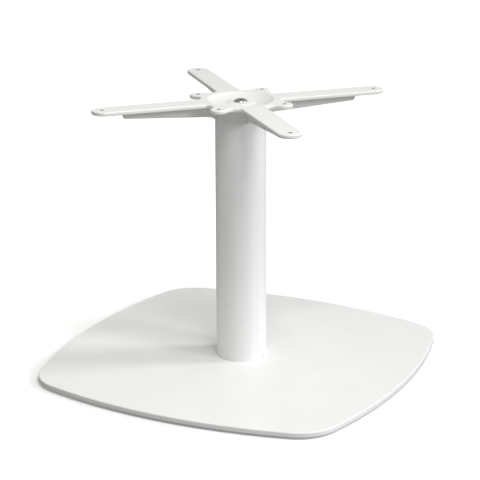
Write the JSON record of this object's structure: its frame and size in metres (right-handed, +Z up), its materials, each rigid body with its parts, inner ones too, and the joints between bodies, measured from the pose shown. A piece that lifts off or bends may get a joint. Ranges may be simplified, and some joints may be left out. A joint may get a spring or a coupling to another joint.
{
  "type": "coffee table base",
  "caption": "Low pedestal base for a coffee table: a flat rounded square steel plate, a round column and a cast cross-shaped top spider with screw holes.",
  "frame": {"origin": "on the floor, on the column's axis, under the middle of the base plate", "axes": "+Z up along the column, X and Y along the sides of the base plate; the four arms lie on the diagonals"},
  "size_m": [0.5318, 0.5318, 0.41],
  "materials": {
    "plate_coat": "white powder coat, satin with a very fine texture",
    "column_coat": "white powder coat, semi-gloss",
    "spider_coat": "white powder coat over a cast surface",
    "plated_screw": "bright zinc plating",
    "bare_steel": "bare turned steel with a weld bead",
    "glide_plastic": "light grey moulded nylon, matt"
  },
  "bodies": {
    "root": {"base_plate": "plate_coat", "column_tube": "column_coat", "spider": "spider_coat", "spider_screw": "plated_screw", "foot_disc": "bare_steel", "head_disc": "bare_steel", "plate_screw_1": "plated_screw", "plate_screw_2": "plated_screw", "plate_screw_3": "plated_screw", "plate_screw_4": "plated_screw", "floor_glide_1": "glide_plastic", "floor_glide_2": "glide_plastic", "floor_glide_3": "glide_plastic", "floor_glide_4": "glide_plastic"}
  },
  "joints": []
}
